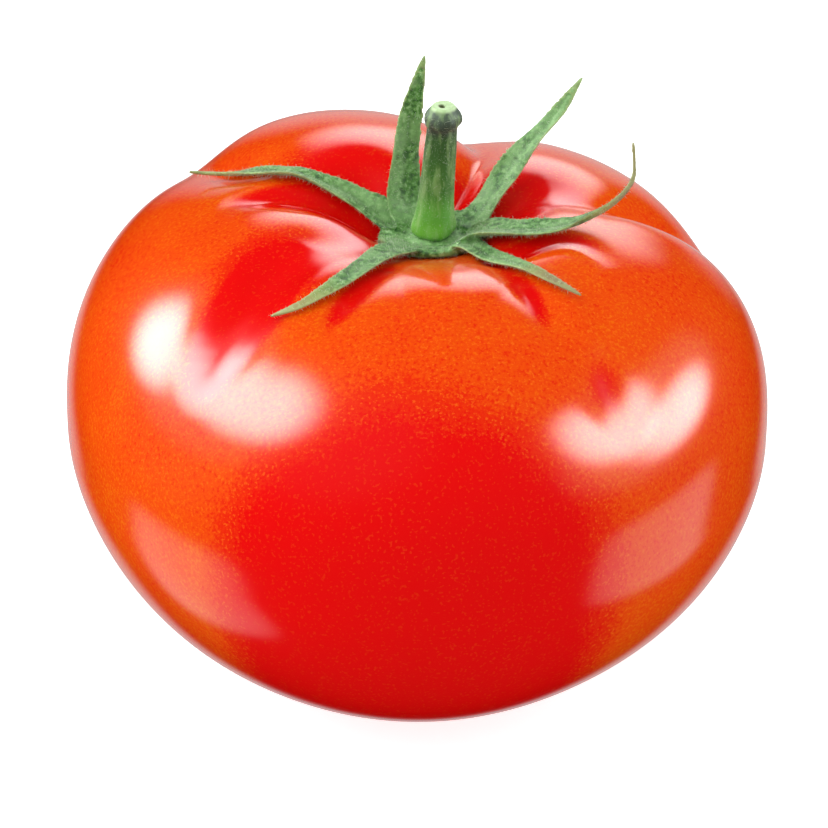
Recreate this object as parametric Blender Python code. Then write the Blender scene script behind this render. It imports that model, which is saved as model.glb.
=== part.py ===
"""A ripe ribbed tomato standing on its blossom end, with its green calyx and a stub of stalk.

Metres, +Z up. The origin is the middle of the tomato's footprint, at the level it stands on.
Azimuths are in degrees, counted from +X towards +Y, and -Y is the front.
"""

import math

import bmesh
import bpy
import numpy as np
from mathutils import Vector
from mathutils.bvhtree import BVHTree

MM = 0.001
GAP = 0.3 * MM

# Fruit: an outline turned round the upright axis
HALF_WIDTH = 45.9 * MM
CROWN_HEIGHT = 32.0 * MM
BASE_HEIGHT = 33.8 * MM
CROWN_ROUNDNESS, CROWN_RISE = 0.91, 0.75
BASE_ROUNDNESS, BASE_RISE = 1.11, 0.97
HOLLOW_DEPTH, HOLLOW_RADIUS = 6.6 * MM, 13.0 * MM
CROWN_LEAN = (2.5 * MM, 0.9 * MM)

# Fruit: how strongly the ribs show at the waist and under the fruit, against the shoulder
WAIST_SHARE, FOOT_SHARE = 0.10, 0.17

# Fruit: what it stands on, and the blossom scar in the middle of that
SUNK = 0.8 * MM
SCAR_DEPTH, SCAR_RADIUS = 0.7 * MM, 3.2 * MM

# Grooves: outer azimuth, inner azimuth, radius of the bend, radius where it starts, depth,
# half width, lip
BEND_REACH = 12 * MM
RELIEF_START, RELIEF_FULL = 2 * MM, 10 * MM
START_REACH = 8 * MM
GROOVES = (
    (86, 71, 30 * MM, 6 * MM, 3.4 * MM, 11, 0.2 * MM),
    (132, 150, 34 * MM, 25 * MM, 3.0 * MM, 9, 0.1 * MM),
    (240, 241, 20 * MM, 6 * MM, 0.3 * MM, 9, 0.0),
    (304, 312, 16 * MM, 6 * MM, 0.4 * MM, 9, 0.0),
    (16, 6, 25 * MM, 22 * MM, 3.6 * MM, 9, 0.1 * MM),
)

# Lobes between the grooves: azimuth, half width, rise at the shoulder, reach at the waist
LOBES = (
    (118, 36, 3.4 * MM, 3.4 * MM),
    (45, 34, 1.5 * MM, -2.5 * MM),
    (340, 34, 1.8 * MM, -0.8 * MM),
    (273, 32, 0.5 * MM, 1.9 * MM),
    (200, 38, 0.4 * MM, -2.4 * MM),
)

# Creases and ridges on the crown: points along each as x, y, height and half width, all in mm.
# A height below zero is a crease.
COURSE_STEPS = 16
CREASES_START, CREASES_FULL = 10, 30
COURSES = (
    ((-4.0, 2.5, -2.2, 2.6), (-8.3, 4.4, -2.2, 2.6), (-14.6, 5.2, -1.5, 2.5),
     (-20.3, 6.2, -0.7, 2.4), (-24.6, 7.4, -0.01, 2.3)),
    ((-7.9, -2.7, 0.2, 3.0), (-10.7, -1.6, 0.4, 4.0), (-14.4, -1.0, 0.5, 4.4),
     (-18.8, 0.0, 0.3, 4.0), (-22.5, 1.6, 0.01, 3.6)),
    ((-13.5, -6.5, -0.5, 3.6), (-16.6, -11.4, -1.5, 4.8), (-20.2, -17.5, -1.3, 4.8),
     (-24.0, -24.0, -0.8, 4.2), (-26.6, -30.0, -0.01, 3.6)),
    ((-6.6, -10.0, 0.1, 2.2), (-10.5, -13.8, 0.3, 2.2), (-13.7, -17.3, 0.2, 2.2),
     (-15.9, -19.8, 0.01, 2.0)),
    ((-3.7, -12.2, -0.5, 2.0), (-6.8, -18.0, -0.7, 2.1), (-9.2, -22.0, -0.5, 2.0),
     (-11.8, -27.0, -0.01, 1.8)),
    ((-1.0, -19.8, 0.15, 5.0), (3.5, -19.4, 0.7, 6.2), (7.5, -19.8, 0.5, 5.5),
     (10.0, -21.0, 0.1, 4.0)),
    ((11.0, -14.2, -0.6, 1.9), (13.6, -18.4, -0.9, 1.8), (15.3, -22.4, -0.6, 1.7),
     (16.6, -27.0, -0.01, 1.6)),
    ((15.8, -16.4, 0.1, 2.0), (18.6, -19.8, 0.4, 2.0), (20.6, -23.5, 0.3, 2.0),
     (22.0, -26.6, 0.01, 2.0)),
    ((10.7, -9.8, -1.2, 2.2), (14.2, -8.9, -0.9, 2.0), (17.9, -7.9, -0.6, 1.8),
     (20.6, -8.3, -0.45, 1.8), (22.4, -9.9, -0.3, 1.8), (23.7, -12.8, -0.01, 1.8)),
    ((24.0, 0.4, 0.1, 3.0), (27.5, 0.8, 0.4, 3.2), (31.0, 0.6, 0.4, 3.2), (35.5, -1.0, 0.1, 3.0)),
    ((-2.0, 5.5, -1.2, 4.0), (-6.0, 8.5, -1.5, 4.0)),
    ((7.5, 3.0, -2.0, 4.2), (12.5, 4.8, -1.8, 4.4), (17.5, 5.8, -0.6, 4.4)),
    ((22.4, -24.0, -0.01, 2.7), (22.8, -30.0, -0.4, 2.7), (21.8, -34.5, -0.01, 2.7)),
)

# Fruit: columns and rows of its skin; the rows lie closer on the crown than at the foot
FRUIT_COLUMNS, FRUIT_ROWS = 112, 52
CROWN_SPACING = 0.55

# Calyx: a thin dish in the hollow, with six sepals
CLEARANCE = 0.55 * MM
DISH_RADIUS, DISH_THICKNESS = 6.8 * MM, 1.2 * MM
SEAT_RADIUS = 3.2 * MM
DISH_COLUMNS, DISH_ROWS = 36, 5
SEPAL_THICKNESS, SEPAL_TIP = 0.8 * MM, 0.6 * MM
SEPAL_ROOT = 4.4 * MM
SEPAL_ROWS, SEPAL_STEPS = 20, 4
KEEL = 0.10

# Sepals: root width, share of the length that is blade, then points along the middle:
# azimuth round the stalk, distance from it, height over the fruit's skin
SEPALS = {
    "left": (4.8 * MM, 1.0, ((147, 6.6, 1.0), (149, 11.0, 0.9), (155, 17.8, 1.0), (155, 21.6, 1.0),
                             (151, 26.1, 1.0), (147, 31.2, 1.0), (148, 34.1, 1.2), (151, 36.2, 2.2))),
    "upper_left": (5.9 * MM, 1.0, ((126, 6.2, 1.2), (122, 7.2, 4.0), (112, 7.7, 10.4), (97, 8.2, 19.0))),
    "upper_right": (5.4 * MM, 1.0, ((35, 7.0, 1.3), (35, 10.4, 2.9), (35, 14.2, 5.0), (35, 19.0, 7.8),
                                    (35, 23.2, 12.8))),
    "right": (5.8 * MM, 0.78, ((328, 7.4, 1.3), (325, 12.0, 1.2), (330, 15.9, 1.4), (335, 18.7, 1.8),
                               (338, 20.8, 2.8), (341, 22.9, 4.4), (344, 24.6, 6.6), (345, 25.6, 9.2),
                               (345, 25.4, 12.6))),
    "right_front": (4.2 * MM, 1.0, ((306, 7.5, 1.1), (304, 12.5, 1.0), (306, 18.8, 0.9), (308, 23.1, 0.9),
                                    (311, 27.5, 1.2))),
    "left_front": (4.6 * MM, 1.0, ((238, 8.0, 1.1), (238, 12.3, 1.0), (238, 20.2, 0.9), (236, 24.0, 0.9),
                                   (233, 27.2, 0.9), (228, 29.8, 1.1))),
}

# Stalk: distance along it from the calyx, and its radius there; the knuckle is where it broke off
STALK_HEIGHT = 17.7 * MM
STALK_LEAN = 1.3 * MM
STALK_OUTLINE = ((0.0, 2.65), (0.7, 2.85), (2.2, 2.6), (4.5, 2.3), (8.0, 2.15), (12.0, 2.05),
                 (14.2, 1.95), (15.2, 2.3), (16.5, 2.35), (17.1, 2.15), (17.7, 2.0), (17.5, 1.3))
STALK_SIDES = 20

# Colours, each with roughness
TOMATO_RED = ((0.72, 0.035, 0.008, 1.0), 0.25)
CALYX_GREEN = ((0.09, 0.22, 0.055, 1.0), 0.7)
STALK_GREEN = ((0.11, 0.30, 0.045, 1.0), 0.65)


def ease(value, low, high):
    """0 below low, 1 above high, and a smooth step between them."""
    part = np.clip((value - low) / (high - low), 0.0, 1.0)
    return part * part * (3.0 - 2.0 * part)


def angle_between(first, second):
    """The turn from the second azimuth to the first, from -180 to 180 degrees."""
    return (first - second + 180.0) % 360.0 - 180.0


def outline(latitude):
    """Radius and height of the turned outline, with the hollow at the top."""
    sine, cosine = np.abs(np.sin(latitude)), np.clip(np.cos(latitude), 0.0, 1.0)
    upper = latitude > 0
    radius = HALF_WIDTH * np.where(upper, cosine ** CROWN_ROUNDNESS, cosine ** BASE_ROUNDNESS)
    height = np.where(upper, CROWN_HEIGHT * sine ** CROWN_RISE, -BASE_HEIGHT * sine ** BASE_RISE)
    hollow = HOLLOW_DEPTH * np.exp(-((radius / HOLLOW_RADIUS) ** 2))
    return radius, height - np.where(upper, hollow, 0.0)


def spaced_latitudes(rows):
    """Latitudes from top to bottom along the outline, closer together on the crown."""
    fine = np.pi * (0.5 - np.linspace(0.0, 1.0, 4001))
    radius, height = outline(fine)
    along = np.concatenate([[0.0], np.cumsum(np.hypot(np.diff(radius), np.diff(height)))])
    share = np.linspace(0.0, 1.0, rows)
    share = CROWN_SPACING * share + (1 - CROWN_SPACING) * share ** 2
    return np.interp(share * along[-1], along, fine)


def rib_relief(azimuth, degrees, radius):
    """How far the skin stands out from the turned outline. Each groove is exp(-distance) across its
    middle line, rounded at the bottom, with a bell-shaped lip on both sides; each lobe is a bell."""
    amount = WAIST_SHARE + (1 - WAIST_SHARE) * ease(degrees, 0, 55)
    amount = amount + (FOOT_SHARE - WAIST_SHARE) * ease(-degrees, 5, 50)
    clear_of_axis = ease(radius, RELIEF_START, RELIEF_FULL)
    softness = 0.2 + 1.0 * (1 - ease(degrees, 5, 50))
    relief = np.zeros(np.broadcast_shapes(azimuth.shape, radius.shape))
    for outer, inner, bend, start, depth, width, lip in GROOVES:
        inside = np.where(degrees > 0, 1 - ease(radius, bend - BEND_REACH, bend + BEND_REACH), 0.0)
        middle = outer + angle_between(inner, outer) * inside
        across = angle_between(azimuth, middle) / width
        valley = np.exp(softness - np.hypot(across, softness))
        lips = np.exp(-(((np.abs(across) - 1.6) / 0.7) ** 2)) * ease(degrees, 20, 60)
        beyond = np.where(degrees > 0, ease(radius, start - START_REACH, start + START_REACH), 1.0)
        relief += (lip * lips - depth * valley * amount) * clear_of_axis * beyond
    for middle, width, rise, reach in LOBES:
        bell = np.exp(-((angle_between(azimuth, middle) / width) ** 2))
        lift = rise * ease(degrees, -20, 45) * clear_of_axis
        relief += bell * (lift + reach * (1 - ease(np.abs(degrees), 10, 70)))
    return relief


def smooth_course(points, count):
    """Evenly spaced points on a smooth curve through the given ones (Catmull-Rom)."""
    points = np.asarray(points, dtype=float)
    ends = np.vstack([2 * points[0] - points[1], points, 2 * points[-1] - points[-2]])
    share = np.linspace(0.0, 1.0, 24, endpoint=False)[:, None]
    pieces = []
    for a, b, c, d in zip(ends, ends[1:], ends[2:], ends[3:]):
        bow = 2 * a - 5 * b + 4 * c - d
        twist = 3 * b - a - 3 * c + d
        pieces.append(0.5 * (2 * b + (c - a) * share + bow * share ** 2 + twist * share ** 3))
    curve = np.vstack(pieces + [points[-1:]])
    along = np.concatenate([[0.0], np.cumsum(np.linalg.norm(np.diff(curve, axis=0), axis=1))])
    even = np.linspace(0.0, along[-1], count)
    return np.stack([np.interp(even, along, curve[:, axis]) for axis in range(points.shape[1])], axis=1)


def course_relief(x, y):
    """Heights of the creases and ridges that run over the shoulder. Each is a smooth course in plan, and
    its section is a bell of the distance to it, with the height and width of the nearest place on it."""
    relief = np.zeros(x.shape)
    for rows in COURSES:
        course = smooth_course(rows, COURSE_STEPS) * MM
        nearest = np.full(x.shape, np.inf)
        height, width = np.zeros(x.shape), np.ones(x.shape)
        for start, end in zip(course, course[1:]):
            run = end - start
            along = (x - start[0]) * run[0] + (y - start[1]) * run[1]
            along = np.clip(along / (run[0] ** 2 + run[1] ** 2), 0.0, 1.0)
            distance = np.hypot(x - start[0] - along * run[0], y - start[1] - along * run[1])
            closer = distance < nearest
            nearest = np.where(closer, distance, nearest)
            height = np.where(closer, start[2] + along * run[2], height)
            width = np.where(closer, start[3] + along * run[3], width)
        relief += height * np.exp(-((nearest / width) ** 2))
    return relief


def fruit_skin(columns, rows):
    """Rings of skin points, from the bottom of the hollow down to the blossom scar."""
    latitude = spaced_latitudes(rows)
    radius, height = outline(latitude)
    step_out, step_up = np.gradient(radius), np.gradient(height)
    length = np.hypot(step_out, step_up)
    azimuth = np.linspace(0.0, 360.0, columns, endpoint=False)[None, :]
    degrees = np.rad2deg(latitude)[:, None]
    relief = rib_relief(azimuth, degrees, radius[:, None])
    lean = np.sin(np.clip(np.deg2rad(degrees), 0.0, None)) ** 2
    plan_x = radius[:, None] * np.cos(np.deg2rad(azimuth)) + CROWN_LEAN[0] * lean
    plan_y = radius[:, None] * np.sin(np.deg2rad(azimuth)) + CROWN_LEAN[1] * lean
    relief = relief + course_relief(plan_x, plan_y) * ease(degrees, CREASES_START, CREASES_FULL)
    out = radius[:, None] - (step_up / length)[:, None] * relief
    up = height[:, None] + (step_out / length)[:, None] * relief
    x = out * np.cos(np.deg2rad(azimuth)) + CROWN_LEAN[0] * lean
    y = out * np.sin(np.deg2rad(azimuth)) + CROWN_LEAN[1] * lean
    up = np.maximum(up - (up.min() + SUNK), 0.0)
    scar = SCAR_DEPTH * (1 - ease(out, 0.0, SCAR_RADIUS))
    up = up + np.where(degrees < -60, scar, 0.0)
    x = x - (x.max() + x.min()) / 2
    y = y - (y.max() + y.min()) / 2
    return np.stack([x, y, up], axis=-1)


def clear_scene():
    for item in list(bpy.data.objects):
        bpy.data.objects.remove(item, do_unlink=True)


def material(name, finish):
    colour, roughness = finish
    made = bpy.data.materials.new(name)
    made.use_nodes = True
    shader = made.node_tree.nodes["Principled BSDF"]
    shader.inputs["Base Color"].default_value = colour
    shader.inputs["Roughness"].default_value = roughness
    shader.inputs["Metallic"].default_value = 0.0
    made.diffuse_color = colour
    return made


def add_object(name, shape, finish):
    """Turn a bmesh into an object with faces pointing out and its own material."""
    bmesh.ops.recalc_face_normals(shape, faces=shape.faces)
    mesh = bpy.data.meshes.new(name)
    shape.to_mesh(mesh)
    shape.free()
    mesh.shade_smooth()
    made = bpy.data.objects.new(name, mesh)
    bpy.context.collection.objects.link(made)
    mesh.materials.append(material(name, finish))
    return made


def rings_with_poles(rings):
    """Join rings of points into a closed skin; the first and last rings shrink to one point."""
    shape = bmesh.new()
    first = shape.verts.new(rings[0].mean(axis=0))
    last = shape.verts.new(rings[-1].mean(axis=0))
    loops = [[shape.verts.new(point) for point in ring] for ring in rings[1:-1]]
    count = len(loops[0])
    for i in range(count):
        j = (i + 1) % count
        shape.faces.new((first, loops[0][i], loops[0][j]))
        shape.faces.new((last, loops[-1][j], loops[-1][i]))
        for upper, lower in zip(loops, loops[1:]):
            shape.faces.new((upper[i], lower[i], lower[j], upper[j]))
    return shape


def sheet_solid(top, bottom):
    """Close two like grids of points into one blade, split into triangles alike on both faces."""
    shape = bmesh.new()
    faces = []
    for grid in (top, bottom):
        faces.append([[shape.verts.new(point) for point in row] for row in grid])
    upper, lower = faces
    rows, steps = len(upper) - 1, len(upper[0]) - 1
    for i in range(rows):
        for j in range(steps):
            for sheet in (upper, lower):
                shape.faces.new((sheet[i][j], sheet[i + 1][j], sheet[i + 1][j + 1]))
                shape.faces.new((sheet[i][j], sheet[i + 1][j + 1], sheet[i][j + 1]))
        for j in (0, steps):
            shape.faces.new((upper[i][j], upper[i + 1][j], lower[i + 1][j], lower[i][j]))
    for j in range(steps):
        for i in (0, rows):
            shape.faces.new((upper[i][j], upper[i][j + 1], lower[i][j + 1], lower[i][j]))
    return shape


def make_fruit():
    return add_object("fruit", rings_with_poles(fruit_skin(FRUIT_COLUMNS, FRUIT_ROWS)), TOMATO_RED)


def skin_height_finder(fruit):
    """A function that gives the height of the fruit's skin above a place."""
    shape = bmesh.new()
    shape.from_mesh(fruit.data)
    tree = BVHTree.FromBMesh(shape)
    shape.free()
    over_everything = 0.2

    def height(x, y):
        hit = tree.ray_cast(Vector((x, y, over_everything)), Vector((0, 0, -1)))
        return hit[0].z if hit[0] else 0.0

    return height


def dish_solid(centre, skin_height):
    """The calyx's dish: it follows the hollow, flat in the middle where the stalk stands."""
    turns = [2 * math.pi * j / DISH_COLUMNS for j in range(DISH_COLUMNS)]
    seat = CLEARANCE + max(
        skin_height(centre[0] + SEAT_RADIUS * math.cos(turn), centre[1] + SEAT_RADIUS * math.sin(turn))
        for turn in turns
    )
    rings = []
    for i in range(DISH_ROWS + 1):
        radius = DISH_RADIUS * i / DISH_ROWS
        ring = []
        for turn in turns:
            x, y = centre[0] + radius * math.cos(turn), centre[1] + radius * math.sin(turn)
            ring.append((x, y, max(skin_height(x, y) + CLEARANCE, seat)))
        rings.append(ring)
    under = np.array(rings)
    over = under + np.array((0.0, 0.0, DISH_THICKNESS))
    return rings_with_poles(np.concatenate([over, under[::-1]])), seat + DISH_THICKNESS


def sepal_middle(course, centre, skin_height, root_height):
    """Points along a sepal's middle, from inside the dish to the tip."""
    azimuth = math.radians(course[0][0])
    root_x = centre[0] + SEPAL_ROOT * math.cos(azimuth)
    root_y = centre[1] + SEPAL_ROOT * math.sin(azimuth)
    points = [(root_x, root_y, root_height)]
    for degrees, distance, lift in course:
        azimuth = math.radians(degrees)
        x = centre[0] + distance * MM * math.cos(azimuth)
        y = centre[1] + distance * MM * math.sin(azimuth)
        points.append((x, y, skin_height(x, y) + lift * MM))
    return smooth_course(points, SEPAL_ROWS)


def sepal_solid(width, blade_share, course, centre, skin_height, root_height):
    """A blade that tapers to its tip, with a shallow keel, held clear of the skin below it."""
    middle = sepal_middle(course, centre, skin_height, root_height)
    ahead = np.gradient(middle, axis=0)
    ahead /= np.linalg.norm(ahead, axis=1)[:, None]
    outward = middle[:, :2] - centre[:2]
    sideways = np.stack([-outward[:, 1], outward[:, 0], np.zeros(SEPAL_ROWS)], axis=1)
    sideways = sideways - ahead * (ahead * sideways).sum(axis=1)[:, None]
    sideways /= np.linalg.norm(sideways, axis=1)[:, None]
    upward = np.cross(ahead, sideways)
    share = np.linspace(0.0, 1.0, SEPAL_ROWS)
    taper = np.clip(1 - share / blade_share, 0.0, 1.0) ** 0.7
    half = (np.maximum(width * taper, SEPAL_TIP) / 2)[:, None, None]
    across = np.linspace(-1.0, 1.0, SEPAL_STEPS + 1)[None, :, None]
    sheet = middle[:, None] + sideways[:, None] * half * across
    sheet = sheet + upward[:, None] * (2 * half * KEEL * across ** 2)
    thickness = (SEPAL_THICKNESS + (SEPAL_TIP - SEPAL_THICKNESS) * share)[:, None, None]
    top = sheet + upward[:, None] * thickness / 2
    bottom = sheet - upward[:, None] * thickness / 2
    for over, under in zip(top.reshape(-1, 3), bottom.reshape(-1, 3)):
        low = min(over[2], under[2])
        needed = skin_height(*under[:2]) + CLEARANCE - low
        if needed > 0:
            over[2] += needed
            under[2] += needed
    return sheet_solid(top, bottom)


def make_calyx(fruit):
    """Six sepals joined to the dish by one union."""
    skin_height = skin_height_finder(fruit)
    lean = fruit_skin(FRUIT_COLUMNS, FRUIT_ROWS)[0, 0]
    dish_shape, dish_top = dish_solid(lean, skin_height)
    calyx = add_object("calyx", dish_shape, CALYX_GREEN)
    root_height = dish_top - DISH_THICKNESS / 2
    blades = bpy.data.collections.new("blades")
    bpy.context.scene.collection.children.link(blades)
    for name, (width, blade_share, course) in SEPALS.items():
        shape = sepal_solid(width, blade_share, course, lean, skin_height, root_height)
        blade = add_object("sepal_" + name, shape, CALYX_GREEN)
        bpy.context.collection.objects.unlink(blade)
        blades.objects.link(blade)
    join = calyx.modifiers.new("join", "BOOLEAN")
    join.operation = "UNION"
    join.operand_type = "COLLECTION"
    join.collection = blades
    join.solver = "EXACT"
    joined = bpy.data.meshes.new_from_object(calyx.evaluated_get(bpy.context.evaluated_depsgraph_get()))
    calyx.modifiers.clear()
    calyx.data = joined
    for blade in list(blades.objects):
        bpy.data.objects.remove(blade, do_unlink=True)
    bpy.data.collections.remove(blades)
    return calyx, Vector((lean[0], lean[1], dish_top))


def make_stalk(seat):
    """A round stalk that leans a little, with a swollen knuckle and a cut end."""
    rings = []
    outline_points = ((0.0, 0.0),) + STALK_OUTLINE + ((STALK_OUTLINE[-1][0], 0.0),)
    for along, radius in outline_points:
        middle_x = seat.x + STALK_LEAN * along * MM / STALK_HEIGHT
        ring = []
        for side in range(STALK_SIDES):
            angle = 2 * math.pi * side / STALK_SIDES
            ring.append((middle_x + radius * MM * math.cos(angle), seat.y + radius * MM * math.sin(angle),
                         seat.z + GAP + along * MM))
        rings.append(ring)
    return add_object("stem", rings_with_poles(np.array(rings)), STALK_GREEN)


def main():
    clear_scene()
    fruit = make_fruit()
    calyx, seat = make_calyx(fruit)
    make_stalk(seat)


main()
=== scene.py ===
"""The looks of a ripe ribbed tomato: skin, calyx, stalk, their hairs, and a plain white studio.

Metres, +Z up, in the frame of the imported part: the fruit stands on z = 0 and -Y is the front.
Azimuths are in degrees, counted from +X towards +Y.
"""

import math

import bpy
import numpy as np
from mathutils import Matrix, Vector


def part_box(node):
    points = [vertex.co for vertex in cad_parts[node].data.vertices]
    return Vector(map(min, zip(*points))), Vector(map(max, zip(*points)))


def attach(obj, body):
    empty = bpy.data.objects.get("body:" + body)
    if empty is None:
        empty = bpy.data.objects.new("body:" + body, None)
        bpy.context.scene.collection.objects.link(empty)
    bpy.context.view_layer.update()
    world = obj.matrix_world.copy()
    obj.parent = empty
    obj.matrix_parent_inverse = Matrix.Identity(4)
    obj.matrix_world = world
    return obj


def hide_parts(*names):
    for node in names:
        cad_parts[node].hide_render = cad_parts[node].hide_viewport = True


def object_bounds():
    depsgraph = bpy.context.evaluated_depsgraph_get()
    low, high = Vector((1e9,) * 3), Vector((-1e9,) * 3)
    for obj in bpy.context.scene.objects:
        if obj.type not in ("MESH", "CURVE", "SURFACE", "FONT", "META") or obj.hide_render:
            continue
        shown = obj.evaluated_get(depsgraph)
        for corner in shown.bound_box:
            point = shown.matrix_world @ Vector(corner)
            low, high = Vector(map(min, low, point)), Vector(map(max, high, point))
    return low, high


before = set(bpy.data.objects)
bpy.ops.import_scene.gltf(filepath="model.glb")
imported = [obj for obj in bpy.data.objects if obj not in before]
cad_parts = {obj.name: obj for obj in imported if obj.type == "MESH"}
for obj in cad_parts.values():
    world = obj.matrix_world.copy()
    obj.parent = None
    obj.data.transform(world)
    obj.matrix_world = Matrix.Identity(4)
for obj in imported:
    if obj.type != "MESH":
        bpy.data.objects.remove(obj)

MM = 0.001
BODY = "root"
CAD_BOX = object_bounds()

# Fruit: an outline turned round the upright axis, with grooves, lobes, creases and ridges
HALF_WIDTH = 45.9 * MM
CROWN_HEIGHT = 32.0 * MM
BASE_HEIGHT = 33.8 * MM
CROWN_ROUNDNESS, CROWN_RISE = 0.91, 0.75
BASE_ROUNDNESS, BASE_RISE = 1.11, 0.97
HOLLOW_DEPTH, HOLLOW_RADIUS = 6.6 * MM, 13.0 * MM
CROWN_LEAN = (2.5 * MM, 0.9 * MM)
WAIST_SHARE, FOOT_SHARE = 0.10, 0.17
SUNK = 0.8 * MM
SCAR_DEPTH, SCAR_RADIUS = 0.7 * MM, 3.2 * MM
BEND_REACH = 12 * MM
RELIEF_START, RELIEF_FULL = 2 * MM, 10 * MM
START_REACH = 8 * MM
# outer azimuth, inner azimuth, radius of the bend, radius where it starts, depth, half width, lip
GROOVES = (
    (86, 71, 30 * MM, 6 * MM, 3.4 * MM, 11, 0.2 * MM),
    (132, 150, 34 * MM, 25 * MM, 3.0 * MM, 9, 0.1 * MM),
    (240, 241, 20 * MM, 6 * MM, 0.3 * MM, 9, 0.0),
    (304, 312, 16 * MM, 6 * MM, 0.4 * MM, 9, 0.0),
    (16, 6, 25 * MM, 22 * MM, 3.6 * MM, 9, 0.1 * MM),
)
# azimuth, half width, rise at the shoulder, reach at the waist
LOBES = (
    (118, 36, 3.4 * MM, 3.4 * MM),
    (45, 34, 1.5 * MM, -2.5 * MM),
    (340, 34, 1.8 * MM, -0.8 * MM),
    (273, 32, 0.5 * MM, 1.9 * MM),
    (200, 38, 0.4 * MM, -2.4 * MM),
)
# creases (height below 0) and ridges round the hollow: points (x, y, height, half width) in mm
COURSES = (
    ((-4.0, 2.5, -2.2, 2.6), (-8.3, 4.4, -2.2, 2.6), (-14.6, 5.2, -1.5, 2.5),
     (-20.3, 6.2, -0.7, 2.4), (-24.6, 7.4, -0.01, 2.3)),
    ((-7.9, -2.7, 0.2, 3.0), (-10.7, -1.6, 0.4, 4.0), (-14.4, -1.0, 0.5, 4.4),
     (-18.8, 0.0, 0.3, 4.0), (-22.5, 1.6, 0.01, 3.6)),
    ((-13.5, -6.5, -0.5, 3.6), (-16.6, -11.4, -1.5, 4.8), (-20.2, -17.5, -1.3, 4.8),
     (-24.0, -24.0, -0.8, 4.2), (-26.6, -30.0, -0.01, 3.6)),
    ((-6.6, -10.0, 0.1, 2.2), (-10.5, -13.8, 0.3, 2.2), (-13.7, -17.3, 0.2, 2.2),
     (-15.9, -19.8, 0.01, 2.0)),
    ((-3.7, -12.2, -0.5, 2.0), (-6.8, -18.0, -0.7, 2.1), (-9.2, -22.0, -0.5, 2.0),
     (-11.8, -27.0, -0.01, 1.8)),
    ((-1.0, -19.8, 0.15, 5.0), (3.5, -19.4, 0.7, 6.2), (7.5, -19.8, 0.5, 5.5),
     (10.0, -21.0, 0.1, 4.0)),
    ((11.0, -14.2, -0.4, 2.0), (13.6, -18.4, -0.6, 2.0), (15.3, -22.4, -0.4, 1.8),
     (16.6, -27.0, -0.01, 1.6)),
    ((15.8, -16.4, 0.1, 2.0), (18.6, -19.8, 0.4, 2.0), (20.6, -23.5, 0.3, 2.0),
     (22.0, -26.6, 0.01, 2.0)),
    ((10.7, -9.8, -1.2, 2.2), (14.2, -8.9, -0.9, 2.0), (17.9, -7.9, -0.6, 1.8),
     (20.6, -8.3, -0.45, 1.8), (22.4, -9.9, -0.3, 1.8), (23.7, -12.8, -0.01, 1.8)),
    ((24.0, 0.4, 0.1, 3.0), (27.5, 0.8, 0.4, 3.2), (31.0, 0.6, 0.4, 3.2), (35.5, -1.0, 0.1, 3.0)),
    ((-2.0, 5.5, -1.2, 4.0), (-6.0, 8.5, -1.5, 4.0)),
    ((7.5, 3.0, -2.0, 4.2), (12.5, 4.8, -1.8, 4.4), (17.5, 5.8, -0.6, 4.4)),
    ((22.4, -24.0, -0.01, 2.7), (22.8, -30.0, -0.4, 2.7), (21.8, -34.5, -0.01, 2.7)),
)
# places on the crown painted deep red as shade, where the skin shows no reflection: middle x, y and radius
SHADE_PLACES = (
    (-16.3 * MM, -11.5 * MM, 7.5 * MM), (-9.0 * MM, 10.0 * MM, 7.5 * MM), (13.5 * MM, 7.0 * MM, 6.5 * MM),
)
COURSE_STEPS = 16
CREASES_START, CREASES_FULL = 10, 30
UPPER_PART = 40 * MM
FRUIT_COLUMNS, FRUIT_ROWS = 400, 240

# Calyx: a thin dish in the hollow with six sepals, fused by small voxels and then smoothed
CLEARANCE = 0.18 * MM
SEAT_CLEARANCE = 0.5 * MM
SEAT_RADIUS = 3.2 * MM
DISH_RADIUS, DISH_THICKNESS = 6.9 * MM, 1.2 * MM
RIM_THICKNESS = 0.5 * MM
MOAT_RADIUS, MOAT_WIDTH, MOAT_DEPTH = 3.5 * MM, 0.9 * MM, 0.75 * MM
DISH_COLUMNS, DISH_ROWS = 120, 24
SEPAL_ROOT = 4.0 * MM
SEPAL_THICKNESS = 0.75 * MM
SEPAL_ROWS, SEPAL_COLUMNS = 90, 36
TAPER = 0.62
THREAD = 0.45 * MM
MIDRIB_DEPTH, MIDRIB_WIDTH = 0.14 * MM, 0.13
VOXEL = 0.2 * MM
SMOOTHING_PASSES = 4

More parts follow.
